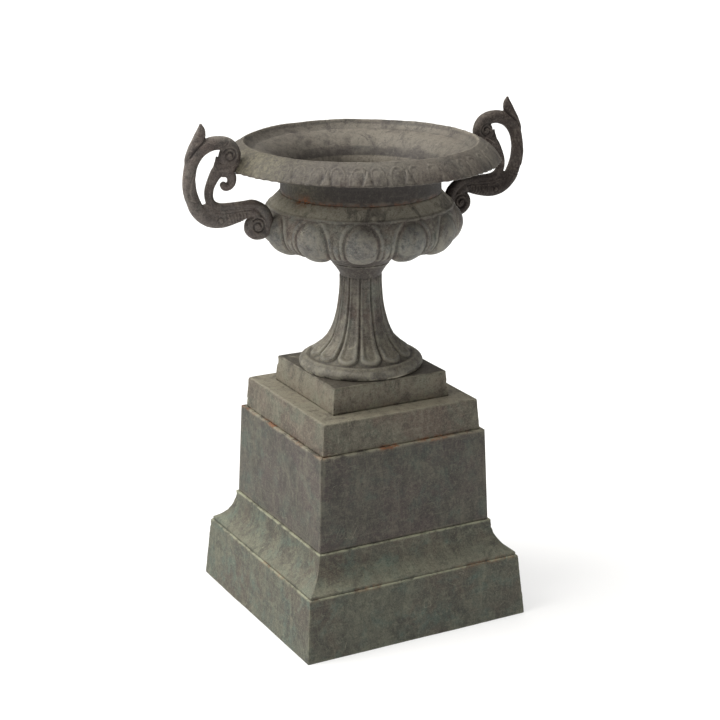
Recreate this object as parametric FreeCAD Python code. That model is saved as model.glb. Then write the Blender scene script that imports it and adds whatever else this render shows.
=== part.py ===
"""Two-handled cast-iron garden urn on a stepped square pedestal.

Millimetres, +Z up. The origin is the centre of the pedestal's underside. The pedestal's faces
look along X and Y, and the urn's two handles lie along X. Square mouldings are given by their
half width at each height, and turned pieces by their radius at each height.
"""
import FreeCAD, Part
import math
import os

V = FreeCAD.Vector
X = V(1, 0, 0)
Y = V(0, 1, 0)
Z = V(0, 0, 1)
ORIGIN = V(0, 0, 0)

# ---- driving dimensions -------------------------------------------------------------------

# pedestal levels
SLAB_TOP = 118.0
COVE_TOP = 184.0
DIE_TOP = 362.0
CAP_TOP = 421.0

# pedestal half widths
SLAB_FOOT_HALF = 230.0
SLAB_TOP_HALF = 219.8
COVE_FOOT_HALF = 216.0
COVE_TOP_HALF = 181.2
DIE_FOOT_HALF = 177.1
DIE_TOP_HALF = 170.5
CAP_FOOT_HALF = 163.7
CAP_TOP_HALF = 159.3
ARRIS = 3.5

# pedestal castings
WALL = 12.0
FLANGE = 12.0
FLANGE_OPENING_HALF = 116.0
DRAIN_RADIUS = 20.0

# tie rods of the pedestal (M12) and the bosses that they screw into
ROD_OFFSET = 136.0
ROD_RADIUS = 6.0
ROD_FOOT = 90.0
ROD_HEAD = 400.0
ROD_WASHER = 2.5
ROD_WASHER_RADIUS = 12.0
ROD_NUT_HEIGHT = 10.0
ROD_NUT_FLATS = 19.0
BOSS_RADIUS = 14.0
BOSS_FOOT = 368.0
BOSS_HEAD = 419.0
TAP_SPARE = 2.0

# corner angles and their screws
ANGLE_THICK = 5.0
ANGLE_START = 124.0
ANGLE_MARGIN = 6.0
SCREW_LEVELS = (222.0, 324.0)
SCREW_SIDE = 139.0
SCREW_BITE = 8.0
SCREW_TIP_ROOM = 1.0

# M6 and M8 screws
M6_RADIUS = 3.0
M6_FLATS = 10.0
M6_HEAD = 4.0
M8_RADIUS = 4.0
M8_FLATS = 13.0
M8_HEAD = 5.3
M8_NUT = 6.5

# urn levels
FOOT_TOP = 469.6
STEM_TOP = 668.0
BOWL_TOP = 800.0
RIM_TOP = 892.4

# urn half widths and radii
FOOT_HALF = 120.5
FOOT_TOP_HALF = 116.3
RING_RADIUS = 114.4
SHAFT_RADIUS = 38.3
COLLAR_RADIUS = 53.0
NECK_RADIUS = 147.0
LIP_RADIUS = 252.6
LIP_LEVEL = 858.7
MOUTH_RADIUS = 211.2
FLANGE_BORE = 118.0
NECK_BORE = 137.0
FOOT_BORE = 40.0
BOWL_FLOOR = STEM_TOP + 14.0
BOWL_DRAINS = 3
BOWL_DRAIN_RADIUS = 6.0
BOWL_DRAIN_CIRCLE = 80.0

# the belly, a ring of round section that the bowl's lobes are cast on, and the shoulder's ridge
BELLY_CENTRE_RADIUS = 139.5
BELLY_CENTRE_LEVEL = 745.0
BELLY_SIZE = 46.0
RIDGE_RADIUS = 170.0
RIDGE_LEVEL = 779.0

# tie bolt of the urn (M16)
BOLT_RADIUS = 8.0
BOLT_FLATS = 24.0
BOLT_END = 431.0
BOLT_HEAD = 10.0
NUT_HEIGHT = 13.0
WASHER = 3.0
WASHER_RADIUS = 22.0
CROSSBAR = (110.0, 28.0, 10.0)

# handles, with the reach, level and radius of the thick eyes of their two volutes
HANDLE_HALF_THICK = 10.0
EYE_STANDS_PROUD = 3.0
UPPER_EYE = (258.0, 887.0, 15.0)
LOWER_EYE = (208.0, 751.0, 17.0)
LOWER_SEAT = 174.0
LOWER_SCREW_LEVEL = 750.0
LOWER_SCREW_END = 214.0
LOWER_WASHER = 1.6
LOWER_WASHER_RADIUS = 9.0
SPOT_FACE_RADIUS = 11.0
UPPER_SCREW_REACH = 243.0
UPPER_SCREW_END = 883.0
LIP_SEAT = 857.0

# neck joint
NECK_BOLTS = 6
NECK_BOLT_CIRCLE = 127.5
NECK_FLANGE = 10.0
BOLT_TIP = 2.0
FIRST_HOLE = 30.0

# fits
THREAD_GAP = 0.05
CLEARANCE = 0.5
SEAT_GAP = 0.2

# longer than anything that a cutting shape has to pass through
FAR = 300.0


# ---- helpers ------------------------------------------------------------------------------

def wire(start, *steps):
    """Closed outline in the XZ plane. A step is a point, or (point on the arc, end point)."""
    here = V(start[0], 0, start[1])
    first = here
    edges = []
    for step in steps:
        if isinstance(step[0], tuple):
            middle = V(step[0][0], 0, step[0][1])
            end = V(step[1][0], 0, step[1][1])
            edges.append(Part.Arc(here, middle, end).toShape())
        else:
            end = V(step[0], 0, step[1])
            edges.append(Part.LineSegment(here, end).toShape())
        here = end
    edges.append(Part.LineSegment(here, first).toShape())
    return Part.Wire(edges)


def turned(start, *steps):
    """Solid of revolution about Z from an outline of (radius, level)."""
    return Part.Face(wire(start, *steps)).revolve(ORIGIN, Z, 360)


def squared(start, *steps):
    """Solid with a square plan whose half width follows an outline of (half width, level)."""
    top = steps[-1][1] if isinstance(steps[-1][0], tuple) else steps[-1]
    outline = wire(start, *steps, (-FAR, top[1]), (-FAR, start[1]))
    bar = Part.Face(outline).extrude(V(0, 2 * FAR, 0))
    bar.translate(V(0, -FAR, 0))
    solid, *others = around(bar, 4)
    for other in others:
        solid = solid.common(other)
    return solid.removeSplitter().Solids[0]


def square_hole(half, foot, head):
    return Part.makeBox(2 * half, 2 * half, head - foot, V(-half, -half, foot))


def rod(radius, length, foot, axis=Z):
    return Part.makeCylinder(radius, length, foot, axis)


def hexagon(flats, height, foot, axis=Z):
    """Six-sided prism, its foot centred on a point."""
    corners = []
    for i in range(7):
        angle = math.radians(60 * i)
        corners.append(V(math.cos(angle), math.sin(angle), 0) * (flats / math.sqrt(3)))
    prism = Part.Face(Part.makePolygon(corners)).extrude(Z * height)
    prism.Placement = FreeCAD.Placement(foot, FreeCAD.Rotation(Z, axis))
    return prism


def hex_screw(radius, flats, head, length, seat, axis):
    """Screw whose head sits behind the seat and whose shank runs from it along the axis."""
    shank = rod(radius, length, seat, axis)
    return shank.fuse(hexagon(flats, head, seat - axis * head, axis)).removeSplitter()


def hex_nut(radius, flats, height, foot):
    bore = rod(radius + THREAD_GAP, height, foot)
    return hexagon(flats, height, foot).cut(bore)


def ring(outer, bore, height, foot, axis=Z):
    return rod(outer, height, foot, axis).cut(rod(bore, height, foot, axis))


def corners(offset):
    return [(sx * offset, sy * offset) for sx in (-1, 1) for sy in (-1, 1)]


def around(shape, count, first=0.0):
    """Copies of a shape spaced evenly round Z."""
    copies = []
    for i in range(count):
        copy = shape.copy()
        copy.rotate(ORIGIN, Z, first + 360.0 * i / count)
        copies.append(copy)
    return copies


def export(name, shape):
    shape.exportStep("parts/" + name + ".step")


# ---- pedestal -----------------------------------------------------------------------------

def rod_holes(foot, head):
    holes = []
    for x, y in corners(ROD_OFFSET):
        holes.append(rod(ROD_RADIUS + CLEARANCE, head - foot, V(x, y, foot)))
    return Part.makeCompound(holes)


def plinth_slab():
    outside = squared(
        (SLAB_FOOT_HALF, 0.0),
        (SLAB_TOP_HALF, SLAB_TOP - ARRIS),
        ((SLAB_TOP_HALF - 1.0, SLAB_TOP - 1.0), (SLAB_TOP_HALF - ARRIS, SLAB_TOP)),
    )
    inside = squared(
        (SLAB_FOOT_HALF - WALL, 0.0),
        (SLAB_TOP_HALF - WALL, SLAB_TOP - FLANGE),
    )
    solid = outside.cut(inside)
    solid = solid.cut(square_hole(FLANGE_OPENING_HALF, 0.0, SLAB_TOP))
    return solid.cut(rod_holes(SLAB_TOP - FLANGE, SLAB_TOP))


def cove_profile(inset):
    """Quirk, hollow and top fillet of the cove, moved inwards by an inset."""
    foot = COVE_FOOT_HALF - inset
    head = COVE_TOP_HALF - inset
    return (
        (foot, SLAB_TOP),
        (foot, SLAB_TOP + 5.0),
        ((head + 9.0, SLAB_TOP + 30.0), (head, COVE_TOP - 4.0)),
        (head, COVE_TOP),
    )


def plinth_cove():
    outside = squared(*cove_profile(0.0))
    inside = squared(*cove_profile(WALL))
    flange_space = square_hole(COVE_FOOT_HALF, COVE_TOP - FLANGE, COVE_TOP)
    solid = outside.cut(inside.cut(flange_space))
    solid = solid.cut(square_hole(FLANGE_OPENING_HALF, SLAB_TOP, COVE_TOP))
    return solid.cut(rod_holes(COVE_TOP - FLANGE, COVE_TOP))


def die_core(inset, foot=COVE_TOP, head=DIE_TOP):
    """Tapered block as far inside the die's face as the inset."""
    slope = (DIE_TOP_HALF - DIE_FOOT_HALF) / (DIE_TOP - COVE_TOP)
    foot_half = DIE_FOOT_HALF + slope * (foot - COVE_TOP) - inset
    head_half = DIE_FOOT_HALF + slope * (head - COVE_TOP) - inset
    return squared((foot_half, foot), (head_half, head))


DIE_DRAFT = math.atan2(DIE_FOOT_HALF - DIE_TOP_HALF, DIE_TOP - COVE_TOP)
FRONT_NORMAL = V(0, -math.cos(DIE_DRAFT), math.sin(DIE_DRAFT))


def front_point(side, level, depth):
    """Point a given depth behind the front panel's face."""
    half = DIE_FOOT_HALF - math.tan(DIE_DRAFT) * (level - COVE_TOP)
    return V(side, -half, level) - FRONT_NORMAL * depth


def front_screw_seats():
    seats = []
    for level in SCREW_LEVELS:
        for side in (-SCREW_SIDE, SCREW_SIDE):
            seats.append(front_point(side, level, WALL + ANGLE_THICK))
    return seats


def front_panel():
    hollow = die_core(0.0).cut(die_core(WALL))
    wedge = Part.Face(Part.makePolygon([
        V(0, 0, COVE_TOP), V(-FAR, -FAR, COVE_TOP), V(FAR, -FAR, COVE_TOP), V(0, 0, COVE_TOP),
    ])).extrude(Z * (DIE_TOP - COVE_TOP))
    panel = hollow.common(wedge)
    for seat in front_screw_seats():
        panel = panel.cut(rod(M6_RADIUS + THREAD_GAP, ANGLE_THICK + SCREW_BITE, seat,
                              FRONT_NORMAL))
    return panel


def corner_angles():
    """The four angles, in order front-left, front-right, back-right, back-left."""
    foot = COVE_TOP + ANGLE_MARGIN
    head = DIE_TOP - ANGLE_MARGIN
    sleeve = die_core(WALL, foot, head).cut(die_core(WALL + ANGLE_THICK, foot, head))
    for seat in front_screw_seats():
        hole = rod(M6_RADIUS + CLEARANCE, 4 * ANGLE_THICK, seat - FRONT_NORMAL * ANGLE_THICK,
                   FRONT_NORMAL)
        for turned_hole in around(hole, 4):
            sleeve = sleeve.cut(turned_hole)
    reach = DIE_FOOT_HALF - ANGLE_START
    corner = Part.makeBox(reach, reach, head - foot, V(-DIE_FOOT_HALF, -DIE_FOOT_HALF, foot))
    return [sleeve.common(box) for box in around(corner, 4)]


def panel_screws():
    screws = []
    for seat in front_screw_seats():
        screw = hex_screw(M6_RADIUS, M6_FLATS, M6_HEAD,
                          ANGLE_THICK + SCREW_BITE - SCREW_TIP_ROOM, seat, FRONT_NORMAL)
        screws.extend(around(screw, 4))
    return Part.makeCompound(screws)


def cap_block():
    outside = squared(
        (CAP_FOOT_HALF, DIE_TOP),
        (CAP_TOP_HALF, CAP_TOP - ARRIS),
        ((CAP_TOP_HALF - 1.0, CAP_TOP - 1.0), (CAP_TOP_HALF - ARRIS, CAP_TOP)),
    )
    inside = squared(
        (CAP_FOOT_HALF - WALL, DIE_TOP),
        (CAP_TOP_HALF - WALL, CAP_TOP - FLANGE),
    )
    solid = outside.cut(inside)
    for x, y in corners(ROD_OFFSET):
        boss = rod(BOSS_RADIUS, BOSS_HEAD - BOSS_FOOT, V(x, y, BOSS_FOOT))
        solid = solid.fuse(boss)
        tapped = rod(ROD_RADIUS + THREAD_GAP, ROD_HEAD + TAP_SPARE - BOSS_FOOT, V(x, y, BOSS_FOOT))
        solid = solid.cut(tapped)
    drain = rod(DRAIN_RADIUS, FLANGE, V(0, 0, CAP_TOP - FLANGE))
    return solid.cut(drain).removeSplitter()


def pedestal_rods():
    rods = []
    washers = []
    nuts = []
    washer_foot = SLAB_TOP - FLANGE - ROD_WASHER
    for x, y in corners(ROD_OFFSET):
        rods.append(rod(ROD_RADIUS, ROD_HEAD - ROD_FOOT, V(x, y, ROD_FOOT)))
        washers.append(ring(ROD_WASHER_RADIUS, ROD_RADIUS + CLEARANCE, ROD_WASHER,
                            V(x, y, washer_foot)))
        nuts.append(hex_nut(ROD_RADIUS, ROD_NUT_FLATS, ROD_NUT_HEIGHT,
                            V(x, y, washer_foot - ROD_NUT_HEIGHT)))
    export("tie_rods", Part.makeCompound(rods))
    export("tie_rod_washers", Part.makeCompound(washers))
    export("tie_rod_nuts", Part.makeCompound(nuts))


# ---- urn ----------------------------------------------------------------------------------

def urn_foot():
    outside = squared(
        (FOOT_HALF, CAP_TOP),
        (FOOT_TOP_HALF, FOOT_TOP - 2.0),
        (FOOT_TOP_HALF - 2.0, FOOT_TOP),
    )
    inside = squared(
        (FOOT_HALF - WALL, CAP_TOP),
        (FOOT_TOP_HALF - WALL, FOOT_TOP - FLANGE),
    )
    return outside.cut(inside).cut(rod(FOOT_BORE, FLANGE, V(0, 0, FOOT_TOP - FLANGE)))


def stem():
    """Bottom ring, trumpet and collar outside; a bell-shaped hollow and the bolt hole inside."""
    return turned(
        (90.0, FOOT_TOP),
        (RING_RADIUS - 1.0, FOOT_TOP),
        ((RING_RADIUS + 1.3, FOOT_TOP + 8.5), (109.5, 487.0)),
        ((82.0, 504.3), (62.0, 524.5)),
        ((51.0, 549.0), (45.0, 572.0)),
        ((40.3, 602.0), (SHAFT_RADIUS, 645.0)),
        ((43.5, 653.0), (COLLAR_RADIUS, STEM_TOP)),
        (BOLT_RADIUS + CLEARANCE, STEM_TOP),
        (BOLT_RADIUS + CLEARANCE, 600.0),
        (20.0, 560.0),
        ((44.0, 508.0), (90.0, 478.0)),
    )


def bowl_outside(grow=0.0):
    """Shoulder, belly and underside, without the hollow. Grow moves the outside outwards."""
    belly = BELLY_SIZE + grow
    low_turn = math.radians(52.0)
    return turned(
        (0.0, STEM_TOP),
        (COLLAR_RADIUS + 2.0, STEM_TOP),
        ((90.0, 689.0 - grow), (BELLY_CENTRE_RADIUS, BELLY_CENTRE_LEVEL - belly)),
        ((BELLY_CENTRE_RADIUS + belly * math.sin(low_turn),
          BELLY_CENTRE_LEVEL - belly * math.cos(low_turn)),
         (BELLY_CENTRE_RADIUS + belly, BELLY_CENTRE_LEVEL)),
        ((BELLY_CENTRE_RADIUS + belly - 4.0, BELLY_CENTRE_LEVEL + 18.0),
         (RIDGE_RADIUS + grow, RIDGE_LEVEL)),
        (NECK_RADIUS + grow, BOWL_TOP),
        (0.0, BOWL_TOP),
    )


def bowl_hollow():
    return turned(
        (0.0, BOWL_FLOOR),
        (48.0, BOWL_FLOOR),
        ((84.0, 704.5), (134.0, 713.0)),
        ((162.0, 724.0), (172.5, 745.0)),
        ((170.5, 761.0), (161.0, 774.0)),
        (146.0, BOWL_TOP - NECK_FLANGE),
        (FLANGE_BORE, BOWL_TOP - NECK_FLANGE),
        (FLANGE_BORE, BOWL_TOP),
        (0.0, BOWL_TOP),
    )


def bowl():
    solid = bowl_outside().cut(bowl_hollow())
    solid = solid.cut(rod(BOLT_RADIUS + CLEARANCE, BOWL_FLOOR - STEM_TOP, V(0, 0, STEM_TOP)))
    drain = rod(BOWL_DRAIN_RADIUS, BELLY_CENTRE_LEVEL - STEM_TOP,
                V(BOWL_DRAIN_CIRCLE, 0, STEM_TOP))
    for hole in around(drain, BOWL_DRAINS, FIRST_HOLE):
        solid = solid.cut(hole)
    for hole in around(neck_bolt_hole(), NECK_BOLTS, FIRST_HOLE):
        solid = solid.cut(hole)
    inside = BELLY_CENTRE_RADIUS
    lower_hole = rod(M8_RADIUS + CLEARANCE, 2 * BELLY_SIZE, V(inside, 0, LOWER_SCREW_LEVEL), X)
    spot_face = rod(SPOT_FACE_RADIUS, LOWER_SEAT - inside, V(inside, 0, LOWER_SCREW_LEVEL), X)
    for hole in around(lower_hole.fuse(spot_face), 2):
        solid = solid.cut(hole)
    return solid.removeSplitter()


def neck_bolt_hole():
    return rod(M8_RADIUS + CLEARANCE, 2 * NECK_FLANGE,
               V(NECK_BOLT_CIRCLE, 0, BOWL_TOP - NECK_FLANGE))


def rim_outside(grow=0.0):
    """Neck, flare under the lip and the rounded outer face, without the hollow."""
    lip = LIP_RADIUS + grow
    return turned(
        (0.0, BOWL_TOP),
        (NECK_RADIUS + grow, BOWL_TOP),
        (NECK_RADIUS + grow, 824.0),
        ((159.0 + grow, 852.0), (190.0 + grow, 861.0 - grow)),
        (230.0, LIP_SEAT - grow),
        (LIP_RADIUS - 2.0, LIP_SEAT - grow),
        (lip, LIP_LEVEL),
        ((237.5 + 0.7 * grow, 877.5 + 0.7 * grow), (MOUTH_RADIUS + 4.0, RIM_TOP + grow)),
        (0.0, RIM_TOP + grow),
    )


def neck_rim():
    hollow = turned(
        (0.0, BOWL_TOP),
        (FLANGE_BORE, BOWL_TOP),
        (FLANGE_BORE, BOWL_TOP + NECK_FLANGE),
        (NECK_BORE, BOWL_TOP + NECK_FLANGE),
        (NECK_BORE, 824.0),
        ((152.0, 858.0), (190.0, 875.0)),
        (205.0, 878.0),
        (MOUTH_RADIUS - 2.0, RIM_TOP),
        (0.0, RIM_TOP),
    )
    solid = rim_outside().cut(hollow)
    for hole in around(neck_bolt_hole(), NECK_BOLTS, FIRST_HOLE):
        solid = solid.cut(hole)
    upper_hole = rod(M6_RADIUS + CLEARANCE, RIM_TOP - LIP_SEAT, V(UPPER_SCREW_REACH, 0, LIP_SEAT))
    for hole in around(upper_hole, 2):
        solid = solid.cut(hole)
    return solid.removeSplitter()


def handle_blank():
    """Outline of the right-hand scroll: C-shaped bar, leaf tip, two volutes, hooked branch."""
    outline = wire(
        (230.0, 765.0),
        ((262.0, 760.0), (299.0, 767.5)),
        ((334.0, 797.0), (347.8, 846.0)),
        ((343.0, 880.0), (325.0, 911.0)),
        (315.0, 924.0),
        (314.5, 942.0),
        (311.0, 948.5),
        ((301.0, 938.0), (297.5, 921.0)),
        ((262.0, 916.0), (237.0, 884.0)),
        (236.0, 862.0),
        (257.5, 862.0),
        ((249.0, 843.0), (261.0, 826.0)),
        ((272.0, 824.5), (274.5, 832.0)),
        (267.0, 842.0),
        (277.0, 847.0),
        ((295.0, 836.0), (286.0, 806.0)),
        (226.0, 798.0),
        ((203.0, 791.0), (188.0, 770.0)),
        (178.0, 752.0),
        (186.0, 734.0),
        ((210.0, 729.5), (228.5, 750.0)),
    )
    crescent = wire(
        (291.0, 895.0),
        ((316.0, 876.0), (325.8, 847.0)),
        ((321.0, 824.0), (309.0, 809.0)),
        (307.0, 818.0),
        ((301.5, 846.0), (285.5, 876.0)),
        (277.0, 889.0),
        (278.5, 896.5),
    )
    plate = Part.Face([outline, crescent]).extrude(Y * (2 * HANDLE_HALF_THICK))
    plate.translate(Y * -HANDLE_HALF_THICK)
    return plate


def volute_eye(reach, level, radius):
    half = HANDLE_HALF_THICK + EYE_STANDS_PROUD
    return rod(radius, 2 * half, V(reach, -half, level), Y)


def right_handle():
    handle = handle_blank().fuse(volute_eye(*UPPER_EYE)).fuse(volute_eye(*LOWER_EYE))
    handle = handle.cut(rim_outside(SEAT_GAP)).cut(bowl_outside(SEAT_GAP))
    lower_length = LOWER_SCREW_END + TAP_SPARE - LOWER_SEAT
    lower = rod(M8_RADIUS + THREAD_GAP, lower_length, V(LOWER_SEAT, 0, LOWER_SCREW_LEVEL), X)
    upper_length = UPPER_SCREW_END + TAP_SPARE - LIP_SEAT
    upper = rod(M6_RADIUS + THREAD_GAP, upper_length, V(UPPER_SCREW_REACH, 0, LIP_SEAT))
    return handle.cut(lower).cut(upper).removeSplitter()


def handle_fasteners():
    seat = V(LOWER_SEAT, 0, LOWER_SCREW_LEVEL)
    head_seat = seat - X * LOWER_WASHER
    washer = ring(LOWER_WASHER_RADIUS, M8_RADIUS + CLEARANCE, LOWER_WASHER, head_seat, X)
    lower = hex_screw(M8_RADIUS, M8_FLATS, M8_HEAD, LOWER_SCREW_END - LOWER_SEAT + LOWER_WASHER,
                      head_seat, X)
    upper = hex_screw(M6_RADIUS, M6_FLATS, M6_HEAD, UPPER_SCREW_END - LIP_SEAT,
                      V(UPPER_SCREW_REACH, 0, LIP_SEAT), Z)
    export("handle_lower_washers", Part.makeCompound(around(washer, 2)))
    export("handle_lower_screws", Part.makeCompound(around(lower, 2)))
    export("handle_upper_screws", Part.makeCompound(around(upper, 2)))


def urn_tie_bolt():
    head_seat = BOWL_FLOOR + WASHER
    bolt = hex_screw(BOLT_RADIUS, BOLT_FLATS, BOLT_HEAD, head_seat - BOLT_END,
                     V(0, 0, head_seat), Z * -1)
    length, width, thick = CROSSBAR
    bar_foot = FOOT_TOP - FLANGE - thick
    bar = Part.makeBox(length, width, thick, V(-length / 2, -width / 2, bar_foot))
    bar = bar.cut(rod(BOLT_RADIUS + CLEARANCE, thick, V(0, 0, bar_foot)))
    washer = ring(WASHER_RADIUS, BOLT_RADIUS + CLEARANCE, WASHER, V(0, 0, BOWL_FLOOR))
    nut = hex_nut(BOLT_RADIUS, BOLT_FLATS, NUT_HEIGHT, V(0, 0, bar_foot - NUT_HEIGHT))
    export("stem_tie_bolt", bolt)
    export("tie_bolt_washer", washer)
    export("tie_bolt_crossbar", bar)
    export("tie_bolt_nut", nut)


def neck_fasteners():
    head_seat = V(NECK_BOLT_CIRCLE, 0, BOWL_TOP + NECK_FLANGE)
    nut_foot = V(NECK_BOLT_CIRCLE, 0, BOWL_TOP - NECK_FLANGE - M8_NUT)
    bolt = hex_screw(M8_RADIUS, M8_FLATS, M8_HEAD, 2 * NECK_FLANGE + M8_NUT + BOLT_TIP, head_seat,
                     Z * -1)
    nut = hex_nut(M8_RADIUS, M8_FLATS, M8_NUT, nut_foot)
    export("neck_bolts", Part.makeCompound(around(bolt, NECK_BOLTS, FIRST_HOLE)))
    export("neck_nuts", Part.makeCompound(around(nut, NECK_BOLTS, FIRST_HOLE)))


# ---- build --------------------------------------------------------------------------------

os.makedirs("parts", exist_ok=True)

export("plinth_slab", plinth_slab())
export("plinth_cove", plinth_cove())
for side, panel in zip(("front", "right", "back", "left"), around(front_panel(), 4)):
    export("die_panel_" + side, panel)
angle_names = ("front_left", "front_right", "back_right", "back_left")
for place, angle in zip(angle_names, corner_angles()):
    export("corner_angle_" + place, angle)
export("panel_screws", panel_screws())
export("cap_block", cap_block())
pedestal_rods()

export("urn_foot", urn_foot())
export("stem", stem())
export("bowl", bowl())
export("neck_rim", neck_rim())
handle_right, handle_left = around(right_handle(), 2)
export("handle_right", handle_right)
export("handle_left", handle_left)
handle_fasteners()
urn_tie_bolt()
neck_fasteners()
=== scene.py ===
"""Looks of a two-handled cast-iron garden urn on its stepped pedestal, built round the CAD frame.

Shapes are worked out in millimetres and turned into metres when a mesh is made. Every casting is
one closed mesh with its inside. Square castings follow a half width at each height, turned ones a
radius, and the ornament is pushed out of those plain shapes.
"""

import math

import bpy
import numpy as np
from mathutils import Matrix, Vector


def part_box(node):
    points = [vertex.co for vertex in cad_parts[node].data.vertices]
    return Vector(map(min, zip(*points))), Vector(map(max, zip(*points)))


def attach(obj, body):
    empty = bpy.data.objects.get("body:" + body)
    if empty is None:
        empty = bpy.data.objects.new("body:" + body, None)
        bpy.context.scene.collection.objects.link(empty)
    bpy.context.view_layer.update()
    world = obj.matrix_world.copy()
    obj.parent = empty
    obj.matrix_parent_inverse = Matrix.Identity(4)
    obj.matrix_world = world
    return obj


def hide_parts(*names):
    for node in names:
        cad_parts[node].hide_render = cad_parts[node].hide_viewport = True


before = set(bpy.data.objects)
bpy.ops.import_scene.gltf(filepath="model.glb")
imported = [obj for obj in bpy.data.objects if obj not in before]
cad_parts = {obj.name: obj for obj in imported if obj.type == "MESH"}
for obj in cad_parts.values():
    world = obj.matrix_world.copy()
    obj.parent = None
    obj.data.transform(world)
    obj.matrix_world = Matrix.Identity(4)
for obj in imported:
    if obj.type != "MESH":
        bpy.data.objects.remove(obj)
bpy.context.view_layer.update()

MM = 0.001


def top(node):
    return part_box(node)[1].z / MM


def reach(node):
    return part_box(node)[1].x / MM


# ---- sizes, in millimetres ----

SLAB_TOP = top("plinth_slab")
COVE_TOP = top("plinth_cove")
DIE_TOP = top("die_panel_front")
CAP_TOP = top("cap_block")
FOOT_TOP = top("urn_foot")
STEM_TOP = top("stem")
BOWL_TOP = top("bowl")
RIM_TOP = top("neck_rim")

SLAB_HALF = reach("plinth_slab")
COVE_HALF = reach("plinth_cove")
DIE_HALF = reach("die_panel_right")
CAP_HALF = reach("cap_block")
FOOT_HALF = reach("urn_foot")
RING_RADIUS = reach("stem") - 1.3
LIP_RADIUS = reach("neck_rim")

WALL = 12.0
FLANGE = 12.0
OPENING_HALF = 116.0
DRAIN_RADIUS = 20.0
FOOT_BORE = 40.0
BOLT_HOLE = 8.5
LIP_LEVEL = 858.7
CREST_RADIUS = 215.0
NECK_RADIUS = 147.0
NECK_BORE = 137.0
NECK_FLANGE = 10.0
FLANGE_BORE = 118.0
RIDGE = (170.0, 779.0)
BELLY_CENTRE = (139.5, 745.0)
BELLY_RADIUS = 39.5
LOBES = 12
LOBE_PITCH = 360.0 / LOBES
LOBE_TURN = 2.4
LOBE_HEIGHT = 9.4
EGGS = 22
EGG_PITCH = 360.0 / EGGS
EGG_TURN = -0.85
TRUMPET_FOOT = 494.0
TRUMPET_HEAD = 640.5
TONGUE_HALF_ANGLE = 13.1
TONGUE_FOOT_HALF = 20.5
BOWL_FLOOR = STEM_TOP + 14.0
BOWL_DRAINS = 3
BOWL_DRAIN_RADIUS = 6.0
BOWL_DRAIN_CIRCLE = 80.0
HANDLE_VOXEL = 1.15
BAR_SIDES = 20
BAR_STEP = 1.5


# ---- outlines and noise ----

def arc(start, middle, end, gap):
    """Points along the arc through three points, about gap apart, without its start."""
    (ax, az), (bx, bz), (cx, cz) = start, middle, end
    twice = 2 * (ax * (bz - cz) + bx * (cz - az) + cx * (az - bz))
    a2, b2, c2 = ax * ax + az * az, bx * bx + bz * bz, cx * cx + cz * cz
    x = (a2 * (bz - cz) + b2 * (cz - az) + c2 * (az - bz)) / twice
    z = (a2 * (cx - bx) + b2 * (ax - cx) + c2 * (bx - ax)) / twice
    radius = math.hypot(ax - x, az - z)
    first = math.atan2(az - z, ax - x)
    half = (math.atan2(bz - z, bx - x) - first) % math.tau
    whole = (math.atan2(cz - z, cx - x) - first) % math.tau
    if half > whole:
        whole -= math.tau
    steps = max(3, math.ceil(abs(whole) * radius / gap))
    angles = first + whole * np.arange(1, steps + 1) / steps
    return [(x + radius * math.cos(a), z + radius * math.sin(a)) for a in angles]


def trace(start, *steps):
    """Points round a closed outline. A step is a point, (point on the arc, end), or a new gap."""
    points = [start]
    gap = 2.0
    for step in (*steps, start):
        here = points[-1]
        if isinstance(step, float):
            gap = step
        elif isinstance(step[0], tuple):
            points.extend(arc(here, step[0], step[1], gap))
        else:
            count = max(1, math.ceil(math.dist(here, step) / gap))
            for i in range(1, count + 1):
                share = i / count
                points.append((here[0] + (step[0] - here[0]) * share,
                               here[1] + (step[1] - here[1]) * share))
    return np.array(points[:-1])


def random_at(cells, seed):
    """A fixed random number from -1 to 1 for each whole-numbered cell."""
    x, y, z = (cells[..., i].astype(np.uint64) for i in range(3))
    mixed = x * np.uint64(73856093) ^ y * np.uint64(19349663) ^ z * np.uint64(83492791)
    mixed = (mixed + np.uint64(seed * 2654435761)) & np.uint64(0xFFFFFFFF)
    for shift in (16, 13, 16):
        mixed = ((mixed ^ (mixed >> np.uint64(shift))) * np.uint64(2246822519)) & np.uint64(0xFFFFFFFF)
    return mixed.astype(float) / 0x7FFFFFFF - 1.0


def rough(points, size, seed=0, octaves=3):
    """Smooth random unevenness from about -1 to 1, with bumps about size millimetres across."""
    total = np.zeros(points.shape[:-1])
    for octave in range(octaves):
        scaled = points / size * 2.0 ** octave + 1000.0
        cell = np.floor(scaled)
        part = scaled - cell
        part = part * part * (3 - 2 * part)
        value = 0.0
        for corner in np.ndindex(2, 2, 2):
            weight = np.prod(np.where(np.array(corner) == 1, part, 1 - part), axis=-1)
            value = value + weight * random_at(cell + np.array(corner), seed + octave)
        total += value / 1.7 ** octave
    return total


def smooth(low, high, value):
    """0 below low, 1 above high, and an even climb between."""
    share = np.clip((value - low) / (high - low), 0.0, 1.0)
    return share * share * (3 - 2 * share)


def ridge(distance, width):
    """A rounded ridge 1 high where distance is 0."""
    return np.exp(-(distance / width) ** 2)


# ---- meshes ----

def keep_level(points, outline, *levels):
    """Puts the rings drawn at these levels back on them, where castings rest on each other."""
    for level in levels:
        points[outline[:, 1] == level, :, 2] = level


def grid_normals(points):
    """Outward normals of a grid that runs up the outside and counter-clockwise round it."""
    across = np.roll(points, -1, 1) - np.roll(points, 1, 1)
    along = np.roll(points, -1, 0) - np.roll(points, 1, 0)
    normals = np.cross(across, along)
    return normals / np.maximum(np.linalg.norm(normals, axis=-1, keepdims=True), 1e-9)


def push_out(points, height):
    return points + grid_normals(points) * height[..., None]


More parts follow.
